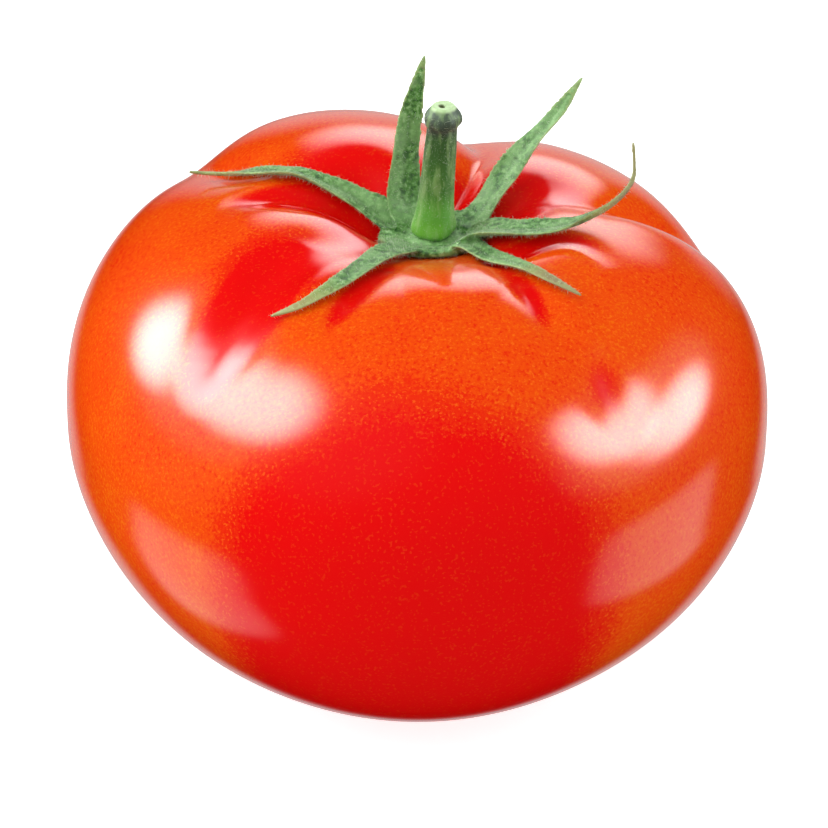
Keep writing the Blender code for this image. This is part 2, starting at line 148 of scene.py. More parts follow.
# Sepals: root width, share of the length that is blade, keel, edge ripple, turn at the tip, dryness of
# the tip, then points along the middle: azimuth round the stalk, distance from it, height over the skin
SEPALS = {
    "left": (4.8 * MM, 1.0, 0.16, 0.25 * MM, 25, 0.35,
             ((147, 6.6, 1.0), (149, 11.0, 0.9), (155, 17.8, 1.0), (155, 21.6, 1.0), (151, 26.1, 1.0),
              (147, 31.2, 1.0), (148, 34.1, 1.2), (151, 36.2, 2.2))),
    "upper_left": (5.9 * MM, 1.0, 0.12, 0.3 * MM, -20, 0.1,
                   ((126, 6.2, 1.2), (122, 7.2, 4.0), (112, 7.7, 10.4), (97, 8.2, 18.8))),
    "upper_right": (5.4 * MM, 1.0, 0.14, 0.45 * MM, 30, 0.1,
                    ((35, 7.0, 1.3), (35, 10.4, 2.9), (35, 14.2, 5.0), (35, 19.0, 7.8),
                     (35, 23.2, 12.8))),
    "right": (7.0 * MM, 0.88, 0.12, 0.25 * MM, -15, 1.0,
              ((328, 7.4, 1.3), (325, 12.0, 1.2), (330, 15.9, 1.4), (335, 18.7, 1.8), (338, 20.8, 2.8),
               (341, 22.9, 4.4), (344, 24.6, 6.6), (345, 25.6, 9.2), (345, 25.4, 13.8))),
    "right_front": (4.2 * MM, 1.0, 0.10, 0.15 * MM, 10, 0.8,
                    ((306, 7.5, 1.1), (304, 12.5, 1.0), (306, 18.8, 0.9), (308, 23.1, 0.9),
                     (311, 27.5, 1.0))),
    "left_front": (4.6 * MM, 1.0, 0.10, 0.15 * MM, -10, 0.6,
                   ((238, 8.0, 1.1), (238, 12.3, 1.0), (238, 20.2, 0.9), (236, 24.0, 0.9), (233, 27.2, 0.9),
                    (228, 29.8, 1.0))),
}

# Stalk: distance along it from the calyx and its radius there, in mm, with the knuckle near the top
STALK_HEIGHT = 17.7 * MM
STALK_LEAN = 1.3 * MM
STALK_OUTLINE = ((0.0, 2.4), (0.5, 2.75), (1.2, 2.75), (2.4, 2.5), (4.5, 2.25), (8.0, 2.1), (12.0, 1.98),
                 (14.4, 1.88), (14.9, 2.02), (15.4, 2.28), (16.1, 2.32), (16.7, 2.1), (17.2, 1.72),
                 (17.55, 1.45), (17.7, 1.3))
CUT_OUTLINE = ((17.62, 1.05), (17.58, 0.75), (17.5, 0.45), (17.2, 0.3), (16.9, 0.2))
PITH_OFFSET = (-0.25 * MM, 0.1 * MM)
STALK_SIDES, STALK_RINGS, CUT_RINGS = 72, 150, 16
KNUCKLE_HEIGHT, KNUCKLE_REACH = 15.4 * MM, 0.9 * MM
RIB_HEIGHTS = (0.04 * MM, 0.02 * MM)
LUMP_HEIGHTS = (0.09 * MM, 0.05 * MM)
FOOT_WAVE = 0.12 * MM

# Down: short hairs on the leaves and the stalk
CALYX_HAIRS, CALYX_HAIR_LENGTH = 5600, 0.65 * MM
STALK_HAIRS, STALK_HAIR_LENGTH = 2000, 1.0 * MM
HAIR_THICKNESS = (0.014 * MM, 0.024 * MM)
HAIR_DROOP = 0.25
HAIR_SPREAD = 0.45
BARE_TOP = 0.9 * MM
BARE_CUT = 16.6 * MM

# Colours
# the skin's reds from orange to deep red; the deep red end is also painted shade where the fruit is less
# lit
ORANGE_SKIN = (0.87, 0.150, 0.001, 1.0)
ORANGE_RED_SKIN = (0.85, 0.070, 0.001, 1.0)
RED_SKIN = (0.81, 0.022, 0.001, 1.0)
DEEP_RED_AND_SHADE_SKIN = (0.79, 0.001, 0.001, 1.0)
GOLDEN_SPECK = (0.92, 0.20, 0.01, 1.0)
CORKY_SCAR = (0.30, 0.16, 0.06, 1.0)
LEAF_GREENS = ((0.030, 0.115, 0.018, 1.0), (0.085, 0.26, 0.040, 1.0), (0.24, 0.46, 0.16, 1.0))
LEAF_RIM = (0.42, 0.50, 0.20, 1.0)
YELLOWING_LEAF, DRY_LEAF = (0.35, 0.36, 0.08, 1.0), (0.28, 0.20, 0.09, 1.0)
# place along the stalk as a share of its height, and the colour there
STALK_COLOURS = (
    (0.04, (0.12, 0.40, 0.015, 1.0)), (0.20, (0.10, 0.36, 0.03, 1.0)), (0.40, (0.040, 0.17, 0.014, 1.0)),
    (0.76, (0.025, 0.105, 0.012, 1.0)), (0.84, (0.030, 0.055, 0.032, 1.0)),
    (0.972, (0.05, 0.085, 0.05, 1.0)), (0.993, (0.55, 0.76, 0.40, 1.0)),
)
STALK_STREAK, STALK_PITH = (0.30, 0.50, 0.17, 1.0), (0.09, 0.12, 0.03, 1.0)
DARK_DOWN, PALE_DOWN = (0.42, 0.55, 0.30, 1.0), (0.78, 0.86, 0.68, 1.0)

# Studio: azimuth, elevation, width and height in metres, radiance, soft share, oval or card
SOFTBOXES = {
    "left_near_box": (152, 27, 0.30, 0.31, 17.0, 0.9, True),
    "left_far_box": (178, 45, 0.38, 0.38, 17.0, 0.9, True),
    "left_glow": (168, 34, 0.70, 0.56, 1.2, 0.9, True),
    "right_near_box": (344, 32, 0.26, 0.38, 16.0, 0.9, True),
    "right_far_box": (0, 14, 0.36, 0.27, 16.0, 0.9, True),
    "right_glow": (354, 20, 0.70, 0.48, 1.2, 0.9, True),
    "back_box": (82, 30, 0.50, 0.38, 4.4, 0.9, True),
    "back_wall": (82, 0, 0.60, 0.38, 0.7, 0.8, True),
    "low_left_card": (184, -38, 0.42, 0.28, 1.4, 0.7, False),
    "low_right_card": (354, -27, 0.40, 0.22, 1.5, 0.6, False),
    "low_back_card": (90, -34, 0.70, 0.40, 0.6, 0.6, False),
}
# the same for the fills, which light the skin but aren't seen in it
FILLS = {
    "key": (215, 50, 0.8, 0.8, 1.2, 0.5, True),
    "left_fill": (175, 12, 0.6, 0.6, 1.4, 0.5, True),
    "right_fill": (5, 12, 0.6, 0.6, 1.2, 0.5, True),
}
LIGHT_DISTANCE = 0.5
WORLD_STRENGTH = 0.78
FLOOR_REACH = 1.5

# Camera: the photo's viewing angle, with the middle of the view on the fruit
PHOTO_SIDE = 828
FOCAL_PIXELS = 4680
SENSOR = 36.0
CAMERA_DISTANCE = 0.6
CAMERA_HEIGHT_ANGLE = 30
CAMERA_TARGET = (-0.17 * MM, -0.17 * MM, 34.5 * MM)


# Shapes

def ease(value, low, high):
    """0 below low, 1 above high, and a smooth cubic step between them."""
    part = np.clip((value - low) / (high - low), 0.0, 1.0)
    return part * part * (3.0 - 2.0 * part)


def angle_between(first, second):
    """The turn from the second azimuth to the first, from -180 to 180 degrees."""
    return (first - second + 180.0) % 360.0 - 180.0


def outline(latitude):
    """Radius and height of the fruit's turned outline: powers of the latitude's cosine and sine,
    less a bell-shaped hollow at the top."""
    sine, cosine = np.abs(np.sin(latitude)), np.clip(np.cos(latitude), 0.0, 1.0)
    upper = latitude > 0
    radius = HALF_WIDTH * np.where(upper, cosine ** CROWN_ROUNDNESS, cosine ** BASE_ROUNDNESS)
    height = np.where(upper, CROWN_HEIGHT * sine ** CROWN_RISE, -BASE_HEIGHT * sine ** BASE_RISE)
    hollow = HOLLOW_DEPTH * np.exp(-((radius / HOLLOW_RADIUS) ** 2))
    return radius, height - np.where(upper, hollow, 0.0)


def even_latitudes(rows):
    """Latitudes from top to bottom that lie evenly along the outline."""
    fine = np.pi * (0.5 - np.linspace(0.0, 1.0, 4001))
    radius, height = outline(fine)
    along = np.concatenate([[0.0], np.cumsum(np.hypot(np.diff(radius), np.diff(height)))])
    return np.interp(np.linspace(0.0, along[-1], rows), along, fine)


def rib_relief(azimuth, degrees, radius):
    """How far the skin stands out from the turned outline. Each groove is exp(-distance) across its
    middle line, rounded at the bottom, with a bell-shaped lip on both sides; each lobe is a bell."""
    amount = WAIST_SHARE + (1 - WAIST_SHARE) * ease(degrees, 0, 55)
    amount = amount + (FOOT_SHARE - WAIST_SHARE) * ease(-degrees, 5, 50)
    clear_of_axis = ease(radius, RELIEF_START, RELIEF_FULL)
    softness = 0.2 + 1.0 * (1 - ease(degrees, 5, 50))
    relief = np.zeros(np.broadcast_shapes(azimuth.shape, radius.shape))
    for outer, inner, bend, start, depth, width, lip in GROOVES:
        inside = np.where(degrees > 0, 1 - ease(radius, bend - BEND_REACH, bend + BEND_REACH), 0.0)
        middle = outer + angle_between(inner, outer) * inside
        across = angle_between(azimuth, middle) / width
        valley = np.exp(softness - np.hypot(across, softness))
        lips = np.exp(-(((np.abs(across) - 1.6) / 0.7) ** 2)) * ease(degrees, 20, 60)
        beyond = np.where(degrees > 0, ease(radius, start - START_REACH, start + START_REACH), 1.0)
        relief += (lip * lips - depth * valley * amount) * clear_of_axis * beyond
    for middle, width, rise, reach in LOBES:
        bell = np.exp(-((angle_between(azimuth, middle) / width) ** 2))
        lift = rise * ease(degrees, -20, 45) * clear_of_axis
        relief += bell * (lift + reach * (1 - ease(np.abs(degrees), 10, 70)))
    return relief


def course_relief(x, y):
    """Heights of the creases and ridges that run over the shoulder. Each is a smooth course in plan, and
    its section is a bell of the distance to it, with the height and width of the nearest place on it."""
    relief = np.zeros(x.shape)
    for rows in COURSES:
        course = smooth_course(rows, COURSE_STEPS) * MM
        nearest = np.full(x.shape, np.inf)
        height, width = np.zeros(x.shape), np.ones(x.shape)
        for start, end in zip(course, course[1:]):
            run = end - start
            along = (x - start[0]) * run[0] + (y - start[1]) * run[1]
            along = np.clip(along / (run[0] ** 2 + run[1] ** 2), 0.0, 1.0)
            distance = np.hypot(x - start[0] - along * run[0], y - start[1] - along * run[1])
            closer = distance < nearest
            nearest = np.where(closer, distance, nearest)
            height = np.where(closer, start[2] + along * run[2], height)
            width = np.where(closer, start[3] + along * run[3], width)
        relief += height * np.exp(-((nearest / width) ** 2))
    return relief


def fruit_skin(columns, rows):
    """Rings of skin points from the bottom of the hollow to the blossom scar: the turned outline,
    moved along its own normal by the relief, leaning in its upper half, cut flat at the bottom."""
    latitude = even_latitudes(rows)
    radius, height = outline(latitude)
    step_out, step_up = np.gradient(radius), np.gradient(height)
    length = np.hypot(step_out, step_up)
    azimuth = np.linspace(0.0, 360.0, columns, endpoint=False)[None, :]
    degrees = np.rad2deg(latitude)[:, None]
    relief = rib_relief(azimuth, degrees, radius[:, None])
    lean = np.sin(np.clip(np.deg2rad(degrees), 0.0, None)) ** 2
    plan_x = radius[:, None] * np.cos(np.deg2rad(azimuth)) + CROWN_LEAN[0] * lean
    plan_y = radius[:, None] * np.sin(np.deg2rad(azimuth)) + CROWN_LEAN[1] * lean
    relief = relief + course_relief(plan_x, plan_y) * ease(degrees, CREASES_START, CREASES_FULL)
    out = radius[:, None] - (step_up / length)[:, None] * relief
    up = height[:, None] + (step_out / length)[:, None] * relief
    x = out * np.cos(np.deg2rad(azimuth)) + CROWN_LEAN[0] * lean
    y = out * np.sin(np.deg2rad(azimuth)) + CROWN_LEAN[1] * lean
    up = np.maximum(up - (up.min() + SUNK), 0.0)
    scar = SCAR_DEPTH * (1 - ease(out, 0.0, SCAR_RADIUS))
    up = up + np.where(degrees < -60, scar, 0.0)
    return np.stack([x, y, up], axis=-1)


def fit_box(points, low, high):
    """Stretch points, by a fraction of a percent, so that their box is the given one."""
    least, most = points.min(axis=(0, 1)), points.max(axis=(0, 1))
    return low + (points - least) * (high - low) / (most - least)


def rings_with_poles(rings):
    """Points and faces of a closed skin through rings of points; the end rings shrink to a point."""
    count = rings.shape[1]
    inner = rings[1:-1].reshape(-1, 3)
    points = np.vstack([rings[0].mean(axis=0), rings[-1].mean(axis=0), inner])
    loops = 2 + np.arange(len(inner)).reshape(-1, count)
    after = np.roll(loops, -1, axis=1)
    quads = np.stack([loops[:-1], loops[1:], after[1:], after[:-1]], axis=-1).reshape(-1, 4)
    top = np.stack([np.zeros(count, int), loops[0], after[0]], axis=-1)
    bottom = np.stack([np.ones(count, int), after[-1], loops[-1]], axis=-1)
    return points, [top, quads, bottom]


def add_piece(name, points, face_groups, node):
    """Make a smooth-shaded mesh object of the points and faces, riding on the part's one body."""
    mesh = bpy.data.meshes.new(name)
    mesh.from_pydata(points.tolist(), [], [face for group in face_groups for face in group.tolist()])
    mesh.shade_smooth()
    mesh.validate()
    made = bpy.data.objects.new(name, mesh)
    bpy.context.scene.collection.objects.link(made)
    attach(made, BODY)
    if node:
        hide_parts(node)
    return made


def polar_heights(rings, azimuths=360, steps=220, reach=40 * MM):
    """The skin's height on a polar grid round the hollow's middle, read from the upper rings."""
    upper = rings[: rings.shape[0] // 2]
    centre = rings[0, 0, :2]
    away = upper[1:, :, :2] - centre
    distance = np.hypot(away[..., 0], away[..., 1])
    turn = np.rad2deg(np.arctan2(away[..., 1], away[..., 0])) % 360.0
    grid = np.linspace(0.0, 360.0, azimuths, endpoint=False)
    even_distance = np.stack([np.interp(grid, t, d, period=360.0) for t, d in zip(turn, distance)])
    even_height = np.stack([np.interp(grid, t, z, period=360.0) for t, z in zip(turn, upper[1:, :, 2])])
    radii = np.linspace(0.0, reach, steps)
    columns = [np.interp(radii, d, z) for d, z in zip(even_distance.T, even_height.T)]
    return centre, np.stack(columns), reach


def height_over(table, x, y):
    """Heights of the fruit's skin below places, by bilinear reading of the polar grid."""
    centre, heights, reach = table
    azimuths, steps = heights.shape
    turn = (np.rad2deg(np.arctan2(y - centre[1], x - centre[0])) % 360.0) * azimuths / 360.0
    step = np.clip(np.hypot(x - centre[0], y - centre[1]) / reach * (steps - 1), 0, steps - 1.001)
    i, j = np.floor(turn).astype(int), np.floor(step).astype(int)
    a, b = turn - i, step - j
    i, after = i % azimuths, (i + 1) % azimuths
    near = heights[i, j] * (1 - a) + heights[after, j] * a
    far = heights[i, j + 1] * (1 - a) + heights[after, j + 1] * a
    return near * (1 - b) + far * b


def smooth_course(points, count):
    """Evenly spaced points on a smooth curve through the given ones (Catmull-Rom)."""
    points = np.asarray(points, dtype=float)
    ends = np.vstack([2 * points[0] - points[1], points, 2 * points[-1] - points[-2]])
    share = np.linspace(0.0, 1.0, 24, endpoint=False)[:, None]
    pieces = []
    for a, b, c, d in zip(ends, ends[1:], ends[2:], ends[3:]):
        bow = 2 * a - 5 * b + 4 * c - d
        twist = 3 * b - a - 3 * c + d
        pieces.append(0.5 * (2 * b + (c - a) * share + bow * share ** 2 + twist * share ** 3))
    curve = np.vstack(pieces + [points[-1:]])
    along = np.concatenate([[0.0], np.cumsum(np.linalg.norm(np.diff(curve, axis=0), axis=1))])
    even = np.linspace(0.0, along[-1], count)
    return np.stack([np.interp(even, along, curve[:, axis]) for axis in range(points.shape[1])], axis=1)


def unit(vectors):
    return vectors / np.linalg.norm(vectors, axis=-1, keepdims=True)


def sepal_middle(course, centre, table, root_height):
    """Points along a sepal's middle from inside the dish to the tip."""
    azimuth = np.deg2rad([course[0][0]] + [row[0] for row in course])
    distance = np.array([SEPAL_ROOT] + [row[1] * MM for row in course])
    x = centre[0] + distance * np.cos(azimuth)
    y = centre[1] + distance * np.sin(azimuth)
    z = height_over(table, x, y) + np.array([0.0] + [row[2] * MM for row in course])
    z[0] = root_height
    return smooth_course(np.stack([x, y, z], axis=1), SEPAL_ROWS)


def sepal_rings(shape, centre, table, root_height):
    """Rings round a sepal. Across it runs the cosine of the ring's angle, and its thickness the sine;
    the blade tapers as a power of what is left to the tip, is folded up along its keel, has a midrib
    groove above and a rib below, and is lifted where it would meet the skin."""
    width, blade, keel, ripple, tip_turn, _, course = shape
    middle = sepal_middle(course, centre, table, root_height)
    ahead = unit(np.gradient(middle, axis=0))
    outward = middle[:, :2] - centre[:2]
    sideways = np.stack([-outward[:, 1], outward[:, 0], np.zeros(SEPAL_ROWS)], axis=1)
    sideways = unit(sideways - ahead * (ahead * sideways).sum(axis=1)[:, None])
    upward = np.cross(ahead, sideways)
    share = np.linspace(0.0, 1.0, SEPAL_ROWS)[:, None]
    turn = np.deg2rad(tip_turn) * share ** 2
    sideways, upward = (np.cos(turn) * sideways + np.sin(turn) * upward,
                        np.cos(turn) * upward - np.sin(turn) * sideways)
    taper = np.clip(1 - share / blade, 0.0, 1.0) ** TAPER
    half = np.maximum(width * taper, THREAD) / 2
    angle = np.linspace(0.0, 2 * np.pi, SEPAL_COLUMNS, endpoint=False)[None, :]
    across, over = np.cos(angle), np.sin(angle)
    blade_part = ease(half, THREAD, 2.5 * THREAD)
    wave = ripple * np.sin(2 * np.pi * 2.3 * share + 1.7 * np.sign(across)) * np.abs(across) ** 3
    rib = np.exp(-((across / MIDRIB_WIDTH) ** 2)) * MIDRIB_DEPTH
    lift = 2 * half * keel * across ** 2 + wave * blade_part - rib * blade_part
    thickness = SEPAL_THICKNESS * (1 - 0.35 * share)
    thickness = np.minimum(thickness, 2.4 * half) / 2
    rings = middle[:, None] + sideways[:, None] * (half * across)[..., None]
    rings = rings + upward[:, None] * (lift + thickness * over)[..., None]
    needed = height_over(table, rings[..., 0], rings[..., 1]) + CLEARANCE - rings[..., 2]
    needed = np.clip(needed, 0.0, None)
    needed = np.maximum(needed, np.roll(needed[:, ::-1], 1, axis=1))
    rings[..., 2] += needed
    return rings


def dish_rings(centre, table, seat):
    """The dish: a disc that follows the hollow, thin at its rim, with a moat round the stalk's foot."""
    angle = np.linspace(0.0, 2 * np.pi, DISH_COLUMNS, endpoint=False)[None, :]
    radius = DISH_RADIUS * np.linspace(0.0, 1.0, DISH_ROWS)[:, None] ** 0.8
    x, y = centre[0] + radius * np.cos(angle), centre[1] + radius * np.sin(angle)
    under = height_over(table, x, y) + CLEARANCE
    thinner = ease(radius, 0.5 * DISH_RADIUS, DISH_RADIUS)
    thickness = DISH_THICKNESS + (RIM_THICKNESS - DISH_THICKNESS) * thinner
    top = np.maximum(height_over(table, x, y) + SEAT_CLEARANCE, seat) + thickness
    uneven = 0.7 + 0.3 * np.cos(2 * angle - 0.3)
    top = top - MOAT_DEPTH * np.exp(-(((radius - MOAT_RADIUS) / MOAT_WIDTH) ** 2)) * uneven
    over = np.stack([x, y, top], axis=-1)
    below = np.stack([x, y, under], axis=-1)
    return np.concatenate([over, below[::-1]])


def joined(shapes):
    """Several closed skins as one list of points and faces."""
    points, faces, start = [], [], 0
    for shape_points, groups in shapes:
        points.append(shape_points)
        faces += [group + start for group in groups]
        start += len(shape_points)
    return np.vstack(points), faces


def fused(points, face_groups, voxel, passes):
    """One skin round overlapping closed shapes: a voxel remesh, then smoothing."""
    mesh = bpy.data.meshes.new("fusing")
    mesh.from_pydata(points.tolist(), [], [face for group in face_groups for face in group.tolist()])
    rough = bpy.data.objects.new("fusing", mesh)
    bpy.context.scene.collection.objects.link(rough)
    remesh = rough.modifiers.new("remesh", "REMESH")
    remesh.mode = "VOXEL"
    remesh.voxel_size = voxel
    soften = rough.modifiers.new("soften", "SMOOTH")
    soften.iterations = passes
    soften.factor = 0.5
    result = bpy.data.meshes.new_from_object(rough.evaluated_get(bpy.context.evaluated_depsgraph_get()))
    bpy.data.objects.remove(rough, do_unlink=True)
    bpy.data.meshes.remove(mesh)
    return result


def stalk_rings(seat_centre):
    """Rings along the stalk: the outline's radius with waves of its angle for faint ribs, for the
    knuckle's lumps and at the foot, and a pith hole in the cut end."""
    outer = smooth_course(STALK_OUTLINE, STALK_RINGS)
    cut = smooth_course(CUT_OUTLINE, CUT_RINGS)
    along = np.concatenate([[0.0], outer[:, 0], cut[:, 0], [cut[-1, 0]]])[:, None] * MM
    radius = np.concatenate([[0.0], outer[:, 1], cut[:, 1], [0.0]])[:, None] * MM
    angle = np.linspace(0.0, 2 * np.pi, STALK_SIDES, endpoint=False)[None, :]
    ribs = RIB_HEIGHTS[0] * np.sin(5 * angle + 120 * along) + RIB_HEIGHTS[1] * np.sin(11 * angle + 1.3)
    lumps = LUMP_HEIGHTS[0] * np.sin(3 * angle + 0.8) + LUMP_HEIGHTS[1] * np.sin(7 * angle + 2100 * along)
    lumps = lumps * np.exp(-(((along - KNUCKLE_HEIGHT) / KNUCKLE_REACH) ** 2))
    foot = FOOT_WAVE * np.sin(4 * angle + 0.5) * (1 - ease(along, 0.5 * MM, 3 * MM))
    outside = ease(radius, 0.8 * MM, 1.5 * MM)
    radius = radius + (ribs + lumps + foot) * outside
    inside_cut = np.concatenate([np.zeros(len(outer) + 1), np.linspace(0, 1, len(cut)), [1.0]])[:, None]
    lean = STALK_LEAN * along / STALK_HEIGHT
    x = seat_centre[0] + lean + PITH_OFFSET[0] * inside_cut + radius * np.cos(angle)
    y = seat_centre[1] + PITH_OFFSET[1] * inside_cut + radius * np.sin(angle)
    z = seat_centre[2] + along + 0 * angle
    return np.stack([x, y, z], axis=-1)


def hair_points(roots, ahead, length, thickness, droop):
    """Three-sided hairs: a root ring, a ring half way and a tip, each bent down by its droop."""
    count = len(roots)
    side = unit(np.cross(ahead, np.array([0.31, 0.52, 0.79])))
    other = np.cross(ahead, side)
    turns = np.deg2rad([0, 120, 240])
    spread = side[:, None] * np.cos(turns)[None, :, None] + other[:, None] * np.sin(turns)[None, :, None]
    down = np.array([0.0, 0.0, -1.0])
    middle = roots + ahead * length[:, None] * 0.55 + down * (droop * length)[:, None] * 0.25
    tip = roots + ahead * length[:, None] * 0.95 + down * (droop * length)[:, None]
    wide = thickness[:, None, None] * spread
    points = np.concatenate([roots[:, None] + wide, middle[:, None] + 0.7 * wide, tip[:, None]], axis=1)
    start = (7 * np.arange(count))[:, None]
    quads = np.concatenate([start + np.array([i, (i + 1) % 3, 3 + (i + 1) % 3, 3 + i]) for i in range(3)])
    tips = np.concatenate([start + np.array([3 + i, 3 + (i + 1) % 3, 6]) for i in range(3)])
    bases = start + np.array([2, 1, 0])
    return points.reshape(-1, 3), [quads, tips, bases]


# Materials

def new_material(name):
    made = bpy.data.materials.new(name)
    made.use_nodes = True
    return made, made.node_tree, made.node_tree.nodes["Principled BSDF"]


def node(tree, kind, **settings):
    made = tree.nodes.new(kind)
    for key, value in settings.items():
        if key in made.inputs:
            made.inputs[key].default_value = value
        else:
            setattr(made, key, value)
    return made


def link(tree, source, target):
    tree.links.new(source, target)


def mixed(tree, factor, first, second):
    """A colour mix. Each of the three is a socket, a number or a colour."""
    made = tree.nodes.new("ShaderNodeMix")
    made.data_type = "RGBA"
    for socket, value in ((made.inputs[0], factor), (made.inputs[6], first), (made.inputs[7], second)):
        if isinstance(value, bpy.types.NodeSocket):
            link(tree, value, socket)
        else:
            socket.default_value = value
    return made.outputs[2]


def ramp(tree, value, stops):
    """A smooth colour ramp of (place, colour) stops, or of (place, grey level) ones."""
    made = tree.nodes.new("ShaderNodeValToRGB")
    made.color_ramp.interpolation = "EASE"
    elements = made.color_ramp.elements
    while len(elements) < len(stops):
        elements.new(0.5)
    for element, (place, colour) in zip(elements, stops):
        element.position = place
        element.color = colour if isinstance(colour, tuple) else (colour, colour, colour, 1.0)
    link(tree, value, made.inputs["Fac"])
    return made.outputs["Color"]


def skin_material():
    """Ripe skin: orange-red, or deep red where its attribute lays the skin's own deeper red and painted
    shade, with fine golden specks that are dense where the skin is orange and sparse where it is deep red,
    and a corky blossom scar."""
    made, tree, shader = new_material("tomato_skin")
    place = node(tree, "ShaderNodeTexCoord").outputs["Object"]
    # the mask of deep red: partly the skin's own deeper red, partly painted shade
    red_and_shade = node(tree, "ShaderNodeAttribute", attribute_name="red_and_shade").outputs["Fac"]
    broad = node(tree, "ShaderNodeTexNoise", Scale=70.0, Detail=2.0, Roughness=0.5)
    link(tree, place, broad.inputs["Vector"])
    grain = node(tree, "ShaderNodeTexNoise", Scale=2300.0, Detail=2.0, Roughness=0.6)
    link(tree, place, grain.inputs["Vector"])
    # broad random tone plus the mask of deep red, which is partly painted shade
    uneven = node(tree, "ShaderNodeMath", operation="MULTIPLY_ADD")
    link(tree, broad.outputs["Fac"], uneven.inputs[0])
    uneven.inputs[1].default_value = 0.5
    link(tree, red_and_shade, uneven.inputs[2])
    speckled = node(tree, "ShaderNodeMath", operation="MULTIPLY_ADD")
    link(tree, grain.outputs["Fac"], speckled.inputs[0])
    speckled.inputs[1].default_value = 1.0
    link(tree, uneven.outputs[0], speckled.inputs[2])
    halved = node(tree, "ShaderNodeMath", operation="MULTIPLY")
    link(tree, speckled.outputs[0], halved.inputs[0])
    halved.inputs[1].default_value = 0.5
    colour = ramp(tree, halved.outputs[0], (
        (0.22, ORANGE_SKIN), (0.37, ORANGE_RED_SKIN), (0.52, RED_SKIN), (0.70, DEEP_RED_AND_SHADE_SKIN),
    ))
    specks = node(tree, "ShaderNodeTexNoise", Scale=2600.0, Detail=1.0)
    link(tree, place, specks.inputs["Vector"])
    dots = ramp(tree, specks.outputs["Fac"], ((0.57, 0.0), (0.73, 0.45)))
    sparse = ramp(tree, uneven.outputs[0], ((0.5, 1.0), (1.0, 0.26)))
    amount = node(tree, "ShaderNodeMath", operation="MULTIPLY")
    link(tree, dots, amount.inputs[0])
    link(tree, sparse, amount.inputs[1])
    colour = mixed(tree, amount.outputs[0], colour, GOLDEN_SPECK)
    scar = node(tree, "ShaderNodeAttribute", attribute_name="scar").outputs["Fac"]
    colour = mixed(tree, scar, colour, CORKY_SCAR)
    link(tree, colour, shader.inputs["Base Color"])
    shader.inputs["Roughness"].default_value = 0.14
    shader.inputs["IOR"].default_value = 1.45
    shader.inputs["Subsurface Weight"].default_value = 0.05
    shader.inputs["Subsurface Radius"].default_value = (1.0, 0.15, 0.1)
    shader.inputs["Subsurface Scale"].default_value = 0.002
    return made


def leaf_material():
    """Green leaf: mottled by two noises, pale in patches where the down catches light, with painted shade
    along the midrib's fold, pale at the edge, yellow to brown where the attribute dryness says so."""
    made, tree, shader = new_material("calyx_leaf")
    place = node(tree, "ShaderNodeTexCoord").outputs["Object"]
    mottle = node(tree, "ShaderNodeTexNoise", Scale=1400.0, Detail=3.0, Roughness=0.6)
    link(tree, place, mottle.inputs["Vector"])
    patches = node(tree, "ShaderNodeTexNoise", Scale=260.0, Detail=2.0)
    link(tree, place, patches.inputs["Vector"])
    dark, green, pale = LEAF_GREENS
    colour = ramp(tree, mottle.outputs["Fac"], ((0.38, dark), (0.5, green), (0.64, pale)))
    light = ramp(tree, patches.outputs["Fac"], ((0.44, 0.0), (0.60, 0.55)))
    colour = mixed(tree, light, colour, pale)
    dryness = node(tree, "ShaderNodeAttribute", attribute_name="dryness")
    dry_colour = ramp(tree, dryness.outputs["Fac"], ((0.35, YELLOWING_LEAF), (0.75, DRY_LEAF)))
    amount = ramp(tree, dryness.outputs["Fac"], ((0.15, 0.0), (0.6, 0.9)))
    colour = mixed(tree, amount, colour, dry_colour)
    # painted shade: the darkest green along the midrib's fold
    rib = node(tree, "ShaderNodeAttribute", attribute_name="midrib")
    colour = mixed(tree, rib.outputs["Fac"], colour, dark)
    edge = node(tree, "ShaderNodeAttribute", attribute_name="edge")
    rim = ramp(tree, edge.outputs["Fac"], ((0.2, 0.0), (0.9, 0.45)))
    colour = mixed(tree, rim, colour, LEAF_RIM)
    link(tree, colour, shader.inputs["Base Color"])
    bump = node(tree, "ShaderNodeBump", Strength=0.35, Distance=0.0002)
    link(tree, mottle.outputs["Fac"], bump.inputs["Height"])
    link(tree, bump.outputs["Normal"], shader.inputs["Normal"])
    shader.inputs["Roughness"].default_value = 0.62
    shader.inputs["Specular IOR Level"].default_value = 0.35
    shader.inputs["Sheen Weight"].default_value = 0.12
    shader.inputs["Sheen Roughness"].default_value = 0.5
    return made


def stalk_material():
    """Stalk: yellow-green at its foot, mid green above, grey-green at the knuckle, pale where cut."""
    made, tree, shader = new_material("stalk_skin")
    place = node(tree, "ShaderNodeTexCoord").outputs["Object"]
    stretch = node(tree, "ShaderNodeMapping", Scale=(1.0, 1.0, 0.25))
    link(tree, place, stretch.inputs["Vector"])
    streaks = node(tree, "ShaderNodeTexNoise", Scale=1100.0, Detail=3.0, Roughness=0.6)
    link(tree, stretch.outputs[0], streaks.inputs["Vector"])
    along = node(tree, "ShaderNodeAttribute", attribute_name="along")
    base = ramp(tree, along.outputs["Fac"], STALK_COLOURS)
    strength = ramp(tree, streaks.outputs["Fac"], ((0.42, 0.0), (0.64, 0.42)))
    colour = mixed(tree, strength, base, STALK_STREAK)
    pith = node(tree, "ShaderNodeAttribute", attribute_name="pith")
    colour = mixed(tree, pith.outputs["Fac"], colour, STALK_PITH)
    link(tree, colour, shader.inputs["Base Color"])
    bump = node(tree, "ShaderNodeBump", Strength=0.3, Distance=0.0002)
    link(tree, streaks.outputs["Fac"], bump.inputs["Height"])
    link(tree, bump.outputs["Normal"], shader.inputs["Normal"])
    shader.inputs["Roughness"].default_value = 0.58
    shader.inputs["Specular IOR Level"].default_value = 0.35
    shader.inputs["Sheen Weight"].default_value = 0.1
    return made


